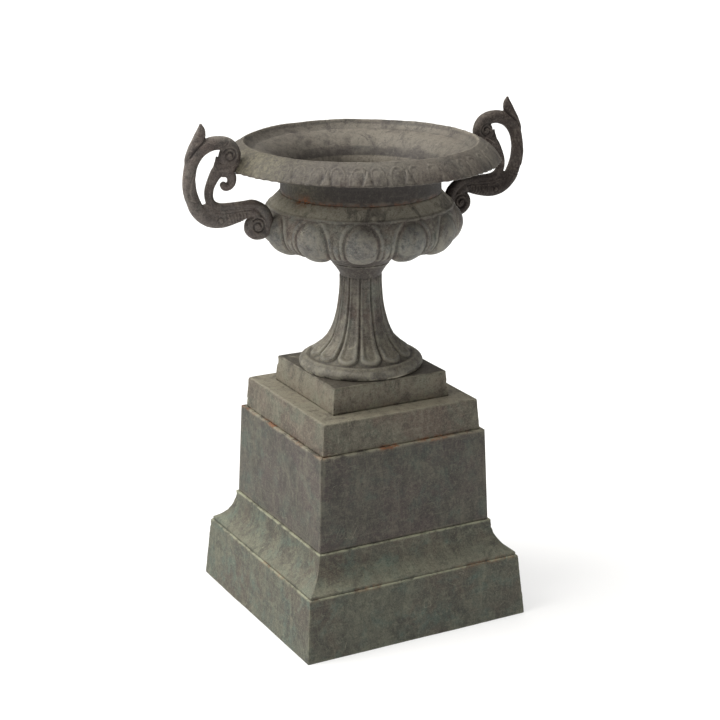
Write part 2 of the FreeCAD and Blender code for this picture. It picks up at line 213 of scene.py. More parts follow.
def grid_faces(rows, columns, open_rows=False):
    index = np.arange(rows * columns).reshape(rows, columns)
    right = np.roll(index, -1, 1)
    up = np.roll(index, -1, 0)
    corner = np.roll(right, -1, 0)
    faces = np.stack([index, right, corner, up], -1)
    if open_rows:
        faces = faces[:-1]
    return faces.reshape(-1, 4)


def make_mesh(name, points, faces):
    """Mesh object in the row frame from points in millimetres."""
    mesh = bpy.data.meshes.new(name)
    mesh.from_pydata((points.reshape(-1, 3) * MM).tolist(), [], faces.tolist())
    mesh.polygons.foreach_set("use_smooth", [True] * len(mesh.polygons))
    piece = bpy.data.objects.new(name, mesh)
    bpy.context.scene.collection.objects.link(piece)
    return piece


def mark(piece, name, values):
    """Stores one number per vertex for the materials."""
    attribute = piece.data.attributes.new(name, "FLOAT", "POINT")
    attribute.data.foreach_set("value", values.astype(np.float32))


def coordinates(piece):
    flat = np.empty(len(piece.data.vertices) * 3)
    piece.data.vertices.foreach_get("co", flat)
    return flat.reshape(-1, 3) / MM


def mark_relief(piece, rounds=8):
    """Marks how far each vertex stands out of its smoothed surroundings, in millimetres."""
    points = coordinates(piece)
    flat = np.empty(len(points) * 3)
    piece.data.vertices.foreach_get("normal", flat)
    normals = flat.reshape(-1, 3)
    ends = np.empty(len(piece.data.edges) * 2, int)
    piece.data.edges.foreach_get("vertices", ends)
    first, second = ends.reshape(-1, 2).T
    count = np.bincount(ends, minlength=len(points)).astype(float)
    softened = points.copy()
    for level, repeats in (("relief", rounds), ("hollow", 5 * rounds)):
        for _ in range(repeats):
            total = softened.copy()
            for axis in range(3):
                total[:, axis] += np.bincount(first, softened[second, axis], len(points))
                total[:, axis] += np.bincount(second, softened[first, axis], len(points))
            softened = total / (count + 1.0)[:, None]
        mark(piece, level, np.sum((points - softened) * normals, axis=1))


def drill(piece, holes):
    """Cuts round holes: each is a centre, a direction, a radius and a length."""
    cutters = []
    for centre, direction, radius, length in holes:
        bpy.ops.mesh.primitive_cylinder_add(vertices=32, radius=radius * MM, depth=length * MM)
        cutter = bpy.context.object
        cutter.rotation_mode = "QUATERNION"
        cutter.rotation_quaternion = Vector(direction).to_track_quat("Z", "Y")
        cutter.location = Vector(centre) * MM
        cutters.append(cutter)
    with bpy.context.temp_override(active_object=cutters[0], object=cutters[0],
                                   selected_editable_objects=cutters, selected_objects=cutters):
        bpy.ops.object.join()
    cutter = cutters[0]
    modifier = piece.modifiers.new("holes", "BOOLEAN")
    modifier.object = cutter
    modifier.operation = "DIFFERENCE"
    modifier.solver = "EXACT"
    bake_modifiers(piece)
    bpy.data.objects.remove(cutter)


def bake_modifiers(piece):
    """Replaces a piece's mesh by what its modifiers make of it."""
    graph = bpy.context.evaluated_depsgraph_get()
    made = bpy.data.meshes.new_from_object(piece.evaluated_get(graph))
    piece.modifiers.clear()
    piece.data = made


# ---- square castings ----

SIDE_COLUMNS = 84
CORNER_COLUMNS = 5


def square_ring(half, corner, roundness=0.0, radius=0.0):
    """One ring of points round a square with rounded corners, or part of the way to a circle."""
    side = np.linspace(-1, 1, SIDE_COLUMNS)
    bend = np.linspace(0, math.pi / 2, CORNER_COLUMNS + 2)[1:-1]
    points = []
    for quarter in range(4):
        x = np.concatenate([np.full(SIDE_COLUMNS, half), half - corner + corner * np.cos(bend)])
        y = np.concatenate([side * (half - corner), half - corner + corner * np.sin(bend)])
        turn = quarter * math.pi / 2
        points.append(np.stack([x * math.cos(turn) - y * math.sin(turn),
                                x * math.sin(turn) + y * math.cos(turn)], -1))
    ring = np.concatenate(points)
    angle = np.arctan2(ring[:, 1], ring[:, 0])
    circle = np.stack([np.cos(angle), np.sin(angle)], -1) * radius
    return ring * (1 - roundness) + circle * roundness


def squared(name, outline, bore=0.0, square_until=0.0):
    """Hollow square casting. Where the outline comes inside square_until it turns into a circle."""
    rings = []
    for half, level in outline:
        worn = 1.6 + 0.9 * rough(np.array([half * 0.1, 7.0, level]), 9.0, 3)
        roundness = 0.0
        if bore:
            roundness = float(smooth(square_until, bore, np.array(half)))
        ring = square_ring(half, max(worn, 0.6), roundness, half)
        rings.append(np.column_stack([ring, np.full(len(ring), level)]))
    points = np.array(rings)
    beside = np.sort(np.abs(points[..., :2]), -1)
    to_arris = beside[..., 1] - beside[..., 0]
    chips = np.maximum(0, rough(points, 13.0, 11) - 0.55) * ridge(to_arris, 5.0) * 2.6
    swell = 0.55 * rough(points, 95.0, 5, 2) + 0.22 * rough(points, 17.0, 6, 2)
    points = push_out(points, swell - chips)
    keep_level(points, outline, outline[:, 1].min(), outline[:, 1].max())
    points[..., 2] = np.clip(points[..., 2], outline[:, 1].min(), outline[:, 1].max())
    return make_mesh(name, points, grid_faces(*points.shape[:2]))


def plinth_slab():
    top_half = 219.8
    outline = trace(
        (SLAB_HALF - WALL, 0), 4.0, (SLAB_HALF - 1.2, 0), 0.8, (SLAB_HALF, 1.2), 3.6,
        (top_half, SLAB_TOP - 4.0), 0.7, ((top_half - 1.2, SLAB_TOP - 1.2),
                                          (top_half - 4.0, SLAB_TOP)), 8.0,
        (OPENING_HALF, SLAB_TOP), 4.0, (OPENING_HALF, SLAB_TOP - FLANGE), 9.0,
        (top_half - WALL - 4.0, SLAB_TOP - FLANGE), 3.0, (top_half - WALL, SLAB_TOP - FLANGE - 4.0),
        9.0,
    )
    return squared("plinth_slab_casting", outline)


def plinth_cove():
    head = 181.2
    outline = trace(
        (COVE_HALF - WALL, SLAB_TOP), 4.0, (COVE_HALF, SLAB_TOP), 1.4, (COVE_HALF, SLAB_TOP + 4.0),
        ((COVE_HALF - 0.4, SLAB_TOP + 5.0), (COVE_HALF - 1.4, SLAB_TOP + 5.6)), 2.2,
        ((head + 9.0, SLAB_TOP + 30.0), (head, COVE_TOP - 5.0)), 1.2, (head, COVE_TOP - 1.5), 0.7,
        ((head - 0.5, COVE_TOP - 0.5), (head - 1.5, COVE_TOP)), 8.0,
        (OPENING_HALF, COVE_TOP), 4.0, (OPENING_HALF, COVE_TOP - FLANGE), 8.0,
        (head - WALL, COVE_TOP - FLANGE), 4.0,
        ((head - WALL + 8.0, SLAB_TOP + 28.0), (COVE_HALF - WALL, SLAB_TOP + 5.0)),
    )
    return squared("plinth_cove_casting", outline)


def cap_block():
    top_half = 159.3
    outline = trace(
        (CAP_HALF - WALL, DIE_TOP), 4.0, (CAP_HALF - 1.0, DIE_TOP), 0.7, (CAP_HALF, DIE_TOP + 1.0),
        3.0, (top_half, CAP_TOP - 3.5), 0.7, ((top_half - 1.0, CAP_TOP - 1.0),
                                             (top_half - 3.5, CAP_TOP)), 4.5,
        (110, CAP_TOP), 9.0, (DRAIN_RADIUS, CAP_TOP), 4.0, (DRAIN_RADIUS, CAP_TOP - FLANGE), 9.0,
        (top_half - WALL, CAP_TOP - FLANGE),
    )
    return squared("cap_casting", outline, bore=DRAIN_RADIUS, square_until=104.0)


def urn_foot():
    top_half = 116.3
    outline = trace(
        (FOOT_HALF - WALL, CAP_TOP), 4.0, (FOOT_HALF - 1.0, CAP_TOP), 0.7, (FOOT_HALF, CAP_TOP + 1.0),
        2.6, (top_half, FOOT_TOP - 2.4), 0.7, ((top_half - 0.7, FOOT_TOP - 0.7),
                                              (top_half - 2.4, FOOT_TOP)), 3.0,
        (104, FOOT_TOP), 6.0, (FOOT_BORE, FOOT_TOP), 4.0, (FOOT_BORE, FOOT_TOP - FLANGE), 8.0,
        (top_half - WALL, FOOT_TOP - FLANGE),
    )
    return squared("urn_foot_casting", outline, bore=FOOT_BORE, square_until=100.0)


def die_panel(side, quarter):
    """One of the four plates, with mitred upright edges, turned to its side of the die."""
    head_half = 170.5
    levels = np.concatenate([[COVE_TOP, COVE_TOP + 0.5], np.arange(COVE_TOP + 2.5, DIE_TOP - 2.5, 2.5),
                             [DIE_TOP - 1.6, DIE_TOP - 0.5, DIE_TOP]])
    across = np.concatenate([[-1.0], np.linspace(-0.994, 0.994, 130), [1.0]])
    rows = []
    for level in levels:
        half = DIE_HALF + (head_half - DIE_HALF) * (level - COVE_TOP) / (DIE_TOP - COVE_TOP)
        eased = 0.9 * math.exp(-(DIE_TOP - level) / 0.8) + 0.5 * math.exp(-(level - COVE_TOP) / 0.6)
        worn = np.where(np.abs(across) == 1.0, 0.9, 0.0)
        inner = half - WALL
        outer_row = np.stack([across * (half - 0.25), np.full(len(across), -half + eased) + worn], -1)
        inner_row = np.stack([across[::-1] * inner, np.full(len(across), -inner)], -1)
        ring = np.concatenate([outer_row, inner_row])
        rows.append(np.column_stack([ring, np.full(len(ring), level)]))
    points = np.array(rows)
    count = len(across)
    outer = points[:, :count]
    spot = outer.copy()
    spot[..., 1] += 400.0 * quarter
    to_edge = np.minimum(1 - np.abs(across), 1.0) * DIE_HALF
    swell = (0.6 * rough(spot, 100.0, 21, 2) + 0.2 * rough(spot, 18.0, 22, 2)) * smooth(0, 9, to_edge)
    dents = np.maximum(0, rough(spot, 12.0, 24) - 0.6) * ridge(to_edge, 5.0) * 2.0
    outer[..., 1] -= swell - dents
    turn = quarter * math.pi / 2
    x = points[..., 0] * math.cos(turn) - points[..., 1] * math.sin(turn)
    y = points[..., 0] * math.sin(turn) + points[..., 1] * math.cos(turn)
    points = np.stack([x, y, points[..., 2]], -1)
    faces = grid_faces(*points.shape[:2], open_rows=True)
    start = np.arange(count - 1)
    back = 2 * count - 1 - start
    foot = np.stack([start, back, back - 1, start + 1], -1)
    last = (len(levels) - 1) * 2 * count
    head = foot[:, ::-1] + last
    faces = np.concatenate([faces, foot, head])
    return make_mesh("die_" + side + "_casting", points, faces)


# ---- turned castings ----

def revolve(outline, columns):
    """Grid of points from an outline of radius and level, with its azimuths in degrees."""
    azimuth = np.arange(columns) * 360.0 / columns
    cosine, sine = np.cos(np.radians(azimuth)), np.sin(np.radians(azimuth))
    radius, level = outline[:, 0, None], outline[:, 1, None]
    points = np.stack([radius * cosine, radius * sine, level + 0 * cosine], -1)
    return points, azimuth


def from_nearest(azimuth, pitch, first=0.0):
    """Degrees from the nearest of the places that repeat every pitch."""
    return (azimuth - first + pitch / 2) % pitch - pitch / 2


def run_length(outline):
    steps = np.linalg.norm(np.diff(outline, axis=0), axis=1)
    return np.concatenate([[0.0], np.cumsum(steps)])


def stem():
    """Ring, collar and a trumpet clothed in tongues with raised borders and round feet."""
    outline = trace(
        (92, FOOT_TOP), 4.0, (RING_RADIUS - 2.0, FOOT_TOP), 1.4,
        ((RING_RADIUS + 1.3, FOOT_TOP + 8.5), (109.5, 487)), 1.6,
        ((82, 504.3), (62, 524.5)), ((51, 549), (45, 572)),
        ((40.3, 602), (38.6, 643)), 1.3, (39.6, 646.5), ((44.5, 655), (53, 666)),
        (53.5, STEM_TOP), 7.0, (BOLT_HOLE, STEM_TOP), (BOLT_HOLE, 600), (20, 560),
        ((44, 508), (90, 478)),
    )
    points, azimuth = revolve(outline, LOBES * 36)
    radius, level = outline[:, 0, None], outline[:, 1, None]
    length = run_length(outline)[:, None]
    outside = length <= length[np.argmax(outline[:, 1])]
    foot = length[np.argmax((outline[:, 1] > TRUMPET_FOOT) & outside[:, 0])]
    head = length[np.argmax((outline[:, 1] > TRUMPET_HEAD) & outside[:, 0])]
    sideways = np.radians(from_nearest(azimuth, LOBE_PITCH, LOBE_PITCH / 2))[None] * radius
    half = np.radians(TONGUE_HALF_ANGLE) * radius
    edge = half - np.abs(sideways)
    above_foot, below_head = length - foot, head - length
    foot_edge = TONGUE_FOOT_HALF - np.hypot(sideways, TONGUE_FOOT_HALF - above_foot)
    edge = np.where(above_foot < TONGUE_FOOT_HALF, np.minimum(edge, foot_edge), edge)
    share = edge / half
    depth = smooth(38.0, 90.0, radius)
    faint = 0.75 + 0.35 * rough(points, 60.0, 33, 1)
    border = ridge(share - 0.22, 0.20) * (1.1 + 0.5 * depth) * faint
    dish = -smooth(0.30, 0.66, share) * (1.7 - 0.2 * depth)
    middle = 0.5 * ridge(share - 1.0, 0.30) * smooth(45.0, 75.0, radius)
    groove = -(1.0 - smooth(-0.16, 0.12, share)) * (2.4 + 2.4 * depth)
    on_trumpet = outside & (level > TRUMPET_FOOT - 14.0) & (level < TRUMPET_HEAD + 9.5)
    fade = smooth(-9.0, -1.0, above_foot) * smooth(-3.0, 0.0, below_head)
    relief = np.where(on_trumpet, (border + dish + middle + groove) * fade, 0.0)
    uneven = 0.5 * rough(points, 40.0, 31, 2) + 0.2 * rough(points, 11.0, 32, 2)
    uneven = uneven * smooth(9.0, 14.0, radius)
    points = push_out(points, relief + uneven)
    keep_level(points, outline, FOOT_TOP, STEM_TOP)
    return make_mesh("stem_casting", points, grid_faces(*points.shape[:2]))


def bowl():
    """Shoulder, ridge and egg-shaped lobes with leaf edges round them and darts between them."""
    cx, cz = BELLY_CENTRE
    low = BELLY_RADIUS
    outline = trace(
        (BOLT_HOLE, STEM_TOP), 6.0, (52, STEM_TOP), 2.0, (54.5, STEM_TOP + 0.6),
        ((90, 694.5), (cx, cz - low)),
        ((cx + low * math.sin(0.9), cz - low * math.cos(0.9)), (cx + low, cz)),
        ((cx + low - 2.5, cz + 18.0), (RIDGE[0] + 0.6, RIDGE[1] - 4.0)), 1.2,
        ((RIDGE[0] + 0.2, RIDGE[1] - 1.4), (RIDGE[0] - 2.0, RIDGE[1] + 0.8)), 1.0,
        (RIDGE[0] - 4.0, RIDGE[1] + 1.9), 2.4,
        (NECK_RADIUS, BOWL_TOP), 7.0, (FLANGE_BORE, BOWL_TOP), (FLANGE_BORE, BOWL_TOP - NECK_FLANGE),
        (146, BOWL_TOP - NECK_FLANGE), (161, 774), ((170.5, 761), (172.5, 745)),
        ((162, 724), (134, 713)), ((84, 704.5), (48, BOWL_FLOOR)),
        (BOLT_HOLE, BOWL_FLOOR),
    )
    points, azimuth = revolve(outline, LOBES * 42)
    radius, level = outline[:, 0, None], outline[:, 1, None]
    length = run_length(outline)[:, None]
    ridge_run = length[np.argmax(outline[:, 1] > RIDGE[1] - 4.2)]
    outside = (length < ridge_run) & (radius > 60.0)
    round_tube = np.degrees(np.arctan2(level - cz, radius - cx))
    waver = 1.1 * rough(points, 70.0, 44, 1)
    swing = from_nearest(azimuth, LOBE_PITCH, LOBE_TURN)[None] + 0.35 * waver
    narrow = 9.5 + 0.5 * smooth(-70.0, 0.0, round_tube)
    reach_up = (round_tube + 38.0 + waver) / 80.0
    size = np.sqrt((swing / narrow) ** 2 + np.abs(reach_up) ** 3.0 + 1e-9)
    to_mm = narrow * math.pi / 180.0 * radius
    off = (size - 1.0) * to_mm
    fullness = 0.68 + 0.7 * smooth(-20.0, 30.0, round_tube) * ridge(swing, 9.0)
    dome = np.where(size < 1.0, LOBE_HEIGHT * np.maximum(1 - size ** 2.3, 0.0) ** fullness, 0.0)
    crease = -0.3 * ridge(off - 0.8, 2.6)
    open_top = smooth(2.5, 8.5, np.abs(swing)) + smooth(10.0, -25.0, round_tube)
    strong = (1.0 - 0.4 * smooth(-10.0, 36.0, round_tube)) * np.clip(open_top, 0.0, 1.0)
    leaf_edge = (3.1 + 0.9 * smooth(-20.0, -70.0, round_tube)) * strong * ridge(off - 6.4, 3.7)
    between = (LOBE_PITCH / 2 - np.abs(swing)) * math.pi / 180.0 * radius
    blade = smooth(6.0, -22.0, round_tube) * smooth(-114.0, -98.0, round_tube)
    blade_half = 4.2 + 2.0 * smooth(-80.0, -20.0, round_tube)
    dart = 3.2 * blade * np.maximum(1 - (between / blade_half) ** 2, 0.0) ** 0.7
    sunk = -0.9 * smooth(5.0, 11.0, off) * (1 - ridge(between, 3.6) * blade)
    fade = smooth(-134.0, -114.0, round_tube) * smooth(55.0, 42.0, round_tube)
    relief = np.where(outside, dome + (crease + leaf_edge + dart + sunk) * fade, 0.0)
    uneven = 0.8 * rough(points, 48.0, 41, 2) + 0.32 * rough(points, 13.0, 42, 2)
    uneven = uneven * smooth(9.0, 30.0, radius)
    points = push_out(points, relief + uneven)
    keep_level(points, outline, STEM_TOP, BOWL_TOP)
    piece = make_mesh("bowl_casting", points, grid_faces(*points.shape[:2]))
    drains = []
    for i in range(BOWL_DRAINS):
        turn = math.radians(30.0 + 360.0 / BOWL_DRAINS * i)
        place = (BOWL_DRAIN_CIRCLE * math.cos(turn), BOWL_DRAIN_CIRCLE * math.sin(turn), 697.0)
        drains.append((place, (0, 0, 1), BOWL_DRAIN_RADIUS, 60.0))
    drill(piece, drains)
    return piece


def neck_rim():
    """Plain neck, flare and a rounded lip whose outer face has an egg-and-dart border."""
    outline = trace(
        (FLANGE_BORE, BOWL_TOP), 5.0, (NECK_RADIUS - 1.0, BOWL_TOP), 2.2,
        (NECK_RADIUS, BOWL_TOP + 1.0), 3.0, (NECK_RADIUS, 824), ((159, 852), (190, 861)),
        3.5, (230, 857), (LIP_RADIUS - 3.0, 857), 0.9,
        ((LIP_RADIUS - 0.8, 857.4), (LIP_RADIUS, LIP_LEVEL)), 1.4,
        ((237.5, 877.2), (CREST_RADIUS, RIM_TOP - 0.6)), 1.2,
        ((CREST_RADIUS - 2.0, RIM_TOP), (CREST_RADIUS - 4.0, RIM_TOP - 0.9)), 1.8,
        ((205, 884.6), (195, 877.6)), 3.2,
        ((157, 858), (NECK_BORE, 824)), 6.0, (NECK_BORE, BOWL_TOP + NECK_FLANGE),
        (FLANGE_BORE, BOWL_TOP + NECK_FLANGE),
    )
    points, azimuth = revolve(outline, EGGS * 29)
    length = run_length(outline)[:, None]
    lip = length[np.argmax(outline[:, 0])]
    crest = length[np.argmax(outline[:, 1])]
    slant = length - lip
    on_face = (length > lip - 4.0) & (length < crest + 2.0)
    face_radius = LIP_RADIUS - 0.42 * np.clip(slant, 0.0, 42.0)
    waver = 1.3 * rough(points, 32.0, 55, 2)
    sideways = np.radians(from_nearest(azimuth, EGG_PITCH, EGG_TURN))[None] * face_radius + waver
    egg_place = np.radians(EGG_PITCH / 4) * face_radius
    lean = 2.2 * smooth(4.0, 34.0, slant) - 1.2
    from_egg = np.abs(sideways) - egg_place + lean
    egg_half, egg_height, foot_level = 13.2, 27.0, 12.0
    size = np.abs(from_egg / egg_half) ** 2.3 + np.abs((slant - foot_level) / egg_height) ** 2.3
    size = size ** 0.435
    off = (size - 1.0) * egg_half
    arch = 1.1 * ridge(off + 1.0, 1.8) + 0.7 * ridge(off + 5.4, 1.5)
    crease = -0.6 * ridge(off - 1.2, 1.2) - 0.4 * ridge(off + 3.2, 1.1)
    ripple = 0.2 * np.sin(from_egg * 1.9) * smooth(0.3, 0.6, 1 - size)
    middle = 1.1 * smooth(0.34, 0.75, 1 - size) + ripple
    egg = np.where(size < 1.25, arch + crease + middle, 0.0)
    dart_half = np.maximum(9.0 * (1 - (slant - 1.0) / 33.0), 0.0) * smooth(-4.0, 0.0, slant)
    in_dart = dart_half - np.abs(sideways)
    dart = 1.9 * smooth(-0.4, 2.2, in_dart)
    dart_crease = -0.7 * ridge(in_dart + 1.0, 0.9) * (slant < 33.0)
    border = np.where(in_dart > -0.4, dart, egg) + dart_crease
    worn = 0.8 + 0.55 * rough(points, 75.0, 52, 2)
    rubbed = ridge(from_nearest(azimuth, 360.0, -166.0), 24.0)[None]
    worn = np.clip(worn, 0.25, 1.15) * (1.0 - 0.6 * rubbed)
    fade = smooth(-3.0, 1.5, slant) * smooth(42.0, 36.0, slant)
    relief = np.where(on_face, border * worn * fade + 0.35 * smooth(40.0, 44.0, slant), 0.0)
    wave = np.cos(np.radians(from_nearest(azimuth, EGG_PITCH / 2)) * 4 * EGGS)
    scallop = 0.6 * ridge(slant + 1.0, 2.5) * wave
    relief = relief + np.where(on_face, scallop, 0.0)
    uneven = 0.8 * rough(points, 55.0, 53, 2) + 0.34 * rough(points, 12.0, 54, 2)
    points = push_out(points, relief + uneven)
    keep_level(points, outline, BOWL_TOP)
    return make_mesh("rim_casting", points, grid_faces(*points.shape[:2]))


# ---- handles ----

def through(points):
    """Smooth Catmull-Rom run through points of (reach, level, bar radius)."""
    ends = np.array([2 * points[0] - points[1], *points, 2 * points[-1] - points[-2]])
    made = []
    for i in range(1, len(ends) - 2):
        a, b, c, d = ends[i - 1:i + 3]
        count = max(2, int(np.linalg.norm((c - b)[:2]) / BAR_STEP))
        for k in range(count):
            t = k / count
            made.append(0.5 * (2 * b + (c - a) * t + (2 * a - 5 * b + 4 * c - d) * t * t
                               + (3 * b - a - 3 * c + d) * t ** 3))
    made.append(ends[-2])
    return np.array(made)


def bar(points, flat=1.0):
    """Closed tube with round ends along the points. Flat is its thickness over its width."""
    run = through(np.array(points, float))
    centre = np.column_stack([run[:, 0], np.zeros(len(run)), run[:, 1]])
    along = np.gradient(centre, axis=0)
    along /= np.linalg.norm(along, axis=1, keepdims=True)
    outward = np.cross(along, [0.0, 1.0, 0.0])
    outward /= np.linalg.norm(outward, axis=1, keepdims=True)
    third = np.cross(outward, along)
    radius = np.maximum(run[:, 2], 0.3)
    rings = []
    turn = np.arange(BAR_SIDES) * math.tau / BAR_SIDES
    for end, order in ((0, -1), (-1, 1)):
        caps = []
        for k in range(1, 5):
            tilt = k * math.pi / 10
            caps.append((centre[end] + along[end] * order * radius[end] * math.sin(tilt),
                         radius[end] * math.cos(tilt), outward[end], third[end]))
        if end == 0:
            rings.extend(reversed(caps))
            rings.extend(zip(centre, radius, outward, third))
        else:
            rings.extend(caps)
    return np.array([
        c + r * (np.cos(turn)[:, None] * o + np.sin(turn)[:, None] * t * flat)
        for c, r, o, t in rings
    ])


def disc(centre, *steps):
    """Round web across a coil, of (radius, half thickness) steps from its edge to its middle."""
    eased = []
    for radius, sideways in steps:
        eased.extend([(radius, sideways - 1.6), (radius - 1.6, sideways)])
    profile = [(radius, -sideways) for radius, sideways in reversed(eased)] + eased
    turn = np.arange(BAR_SIDES) * math.tau / BAR_SIDES
    return np.array([
        np.column_stack([centre[0] + radius * np.cos(turn), np.full(BAR_SIDES, sideways),
                         centre[1] + radius * np.sin(turn)])
        for radius, sideways in profile
    ])


VOLUTE = (261.5, 888)
SCROLL = (209.5, 756.5)
BUD = (283, 774.5)


def handle_bars():
    """Every bar, coil, leaf and bud of the right-hand handle, as (reach, level, bar radius)."""
    outer_c = [
        (221, 781.5, 8), (232.5, 780.4, 9.4), (247.9, 776.9, 11.2), (271.2, 773, 12.8),
        (294.4, 774.9, 13), (309.9, 782.9, 13), (322.2, 795.9, 12.9), (329.6, 811.8, 12.2),
        (334.6, 828, 11.7), (336.4, 845, 11.4), (335.6, 858.5, 11.4), (332, 875, 11.5),
        (324.5, 889.5, 11.8), (312, 902, 12.2), (296.5, 909.2, 12.5), (280.5, 910.6, 12.5),
        (265.5, 907.4, 12.3), (254.6, 900, 11.6), (248.8, 889.6, 10.6),
    ]
    volute = [(249.4, 879.5, 9.6), (256, 873.4, 8.8), (264.8, 873, 8.2), (271.4, 878, 7.6),
              (273, 886, 7.2), (269, 893.5, 6.8), (261.5, 895, 6.4)]
    branch = [
        (283.6, 874, 5.4), (282.8, 867, 8.8), (285, 858, 10.6), (291.5, 848, 9.2),
        (296.6, 838, 8.4), (299.8, 826.4, 8), (299.6, 814, 7.8), (294.5, 803.5, 8),
        (284, 797.2, 8.1), (271.2, 795.3, 8.1), (255, 795.3, 8.2), (240.2, 795.4, 8.4),
        (226, 795.4, 8.7), (217, 794.6, 9.1), (208, 791.2, 9.5), (197.6, 784, 9.9),
        (190.7, 773.9, 10.2), (187.6, 759.7, 10.4), (191.5, 746.5, 10.4), (202.5, 740.8, 10.4),
        (214.5, 742.2, 10.2), (223, 750.6, 9.9), (222.6, 762, 9.4), (214.6, 769, 8.6),
    ]
    hook = [(272, 860, 10.6), (263, 857.6, 9.8), (256.4, 849.5, 8.7), (256.2, 840, 8.2),
            (261, 833.4, 7.8), (268.6, 831.8, 7.2), (272.2, 835.6, 6.4)]
    leaf = [(337, 866, 6), (334, 884, 9.6), (325, 902, 11.8), (317, 916.5, 11.4),
            (312.6, 928.5, 10), (311.4, 937, 7.6), (311.8, 944, 3.4)]
    web = [(299, 799, 8.5), (309, 795.4, 9.6), (317, 792, 9.6)]
    strand = [(306, 790, 10), (286, 786, 10.6), (262, 785.6, 10), (240, 787, 9.6), (222, 785, 9.6),
              (211, 777, 9.2)]
    knuckle = [(247, 872, 9), (258, 866.5, 10.6), (270, 864, 11.4), (280, 864, 10.6)]
    sprig = [(284, 868, 7), (282.6, 877, 5), (283.8, 886.5, 1.5)]
    return [
        bar(outer_c + volute), disc(VOLUTE, (16, 7.5), (5.6, 11)), disc(SCROLL, (18.5, 8), (5.2, 10.6)),
        disc(BUD, (4.8, 14.2)), bar(web), bar(strand), bar(branch), bar(hook), bar(knuckle),
        bar(leaf, flat=0.72), bar(sprig, flat=0.8),
    ]


def carved_lines():
    """Creases and ribs in a handle's two faces: (height, width, points of reach and level)."""
    lines = [
        (-1.9, 1.7, [(304, 922.5), (309, 916), (318, 909.5), (328, 900.5), (335, 890)]),
        (0.9, 1.8, [(308, 924.5), (314.5, 917), (322.5, 911.5), (332, 902)]),
        (-1.5, 1.7, [(326.5, 869), (333, 858), (339, 845), (341.5, 830), (338.5, 818)]),
        (0.8, 2, [(344, 846), (346, 832), (341.5, 816)]),
        (-0.9, 1.3, [(340, 815), (331, 811), (322, 812.5)]),
        (-0.9, 1.3, [(336, 800), (326, 799), (316, 803)]),
        (-1, 1.4, [(262, 922), (264.5, 913), (272, 905), (280, 899)]),
        (-0.7, 1.3, [(300, 921), (296, 910), (289, 902), (283, 899.5)]),
        (-1, 1.4, [(286, 880), (290, 866), (288, 852), (279, 846)]),
        (-0.9, 1.3, [(274, 853), (266, 849), (262.5, 841), (266, 836.5)]),
        (-1.3, 1.6, [(292, 789.5), (276, 786.4), (256, 786.6), (236, 788.4), (222, 787.5)]),
        (-1.2, 1.6, [(226, 778), (231, 770), (230, 762)]),
    ]
    for i in range(6):
        place = 268.0 - 6.4 * i
        lines.append((1, 1.5, [(place, 784), (place - 1.6, 775.5), (place - 5, 767.5)]))
    for centre, depth, first, last, start, turns in (
            (VOLUTE, -2.2, 13.5, 4.6, 20, 1.45), (SCROLL, -2.4, 14.5, 5, 50, 1.35),
            (BUD, -1.4, 6, 5, 20, 0.9)):
        share = np.linspace(0, 1, 28)
        turn = np.radians(start + 360.0 * turns * share)
        size = first + (last - first) * share
        lines.append((depth, 1.6, list(zip(centre[0] + size * np.cos(turn),
                                           centre[1] + size * np.sin(turn)))))
    return lines


def to_line(reach_level, line):
    """Distance of every point from a line of short straight runs."""
    nearest = np.full(len(reach_level), 1e9)
    for start, end in zip(line[:-1], line[1:]):
        start, run = np.array(start), np.subtract(end, start)
        share = np.clip((reach_level - start) @ run / (run @ run), 0.0, 1.0)
        away = reach_level - start - share[:, None] * run
        nearest = np.minimum(nearest, np.linalg.norm(away, axis=1))
    return nearest


def handles():
    """Both handles: the bars grown into one skin, then eased and given a cast surface."""
    points, faces, count = [], [], 0
    for rings in handle_bars():
        sides = rings.shape[1]
        body = grid_faces(len(rings), sides, open_rows=True)
        size = len(rings) * sides
        points.extend(rings.reshape(-1, 3).tolist())
        faces.extend((body + count).tolist())
        faces.append(list(range(count + sides - 1, count - 1, -1)))
        faces.append(list(range(count + size - sides, count + size)))
        count += size
    mesh = bpy.data.meshes.new("handle_bars")
    mesh.from_pydata((np.array(points) * MM).tolist(), [], faces)
    piece = bpy.data.objects.new("handle_right_casting", mesh)
    bpy.context.scene.collection.objects.link(piece)
    skin = piece.modifiers.new("skin", "REMESH")
    skin.mode = "VOXEL"
    skin.voxel_size = HANDLE_VOXEL * MM
    ease = piece.modifiers.new("ease", "SMOOTH")
    ease.factor = 0.5
    ease.iterations = 3
    bake_modifiers(piece)
    grown = coordinates(piece)
    flat = np.empty(len(grown) * 3)
    piece.data.vertices.foreach_get("normal", flat)
    normals = flat.reshape(-1, 3)
    relief = 0.4 * rough(grown, 20.0, 61, 2) + 0.14 * rough(grown, 6.0, 62, 2)
    on_face = smooth(0.15, 0.6, np.abs(normals[:, 1]))
    for height, width, line in carved_lines():
        relief += height * on_face * ridge(to_line(grown[:, [0, 2]], line), width)
    grown = grown + normals * relief[:, None]
    piece.data.vertices.foreach_set("co", (grown * MM).ravel())
    piece.data.polygons.foreach_set("use_smooth", [True] * len(piece.data.polygons))
    mark_relief(piece, 5)
    other = bpy.data.objects.new("handle_left_casting", piece.data.copy())
    turned_round = grown * np.array([-1.0, -1.0, 1.0])
    other.data.vertices.foreach_set("co", (turned_round * MM).ravel())
    other.data.update()
    bpy.context.scene.collection.objects.link(other)
    return piece, other


# ---- materials ----

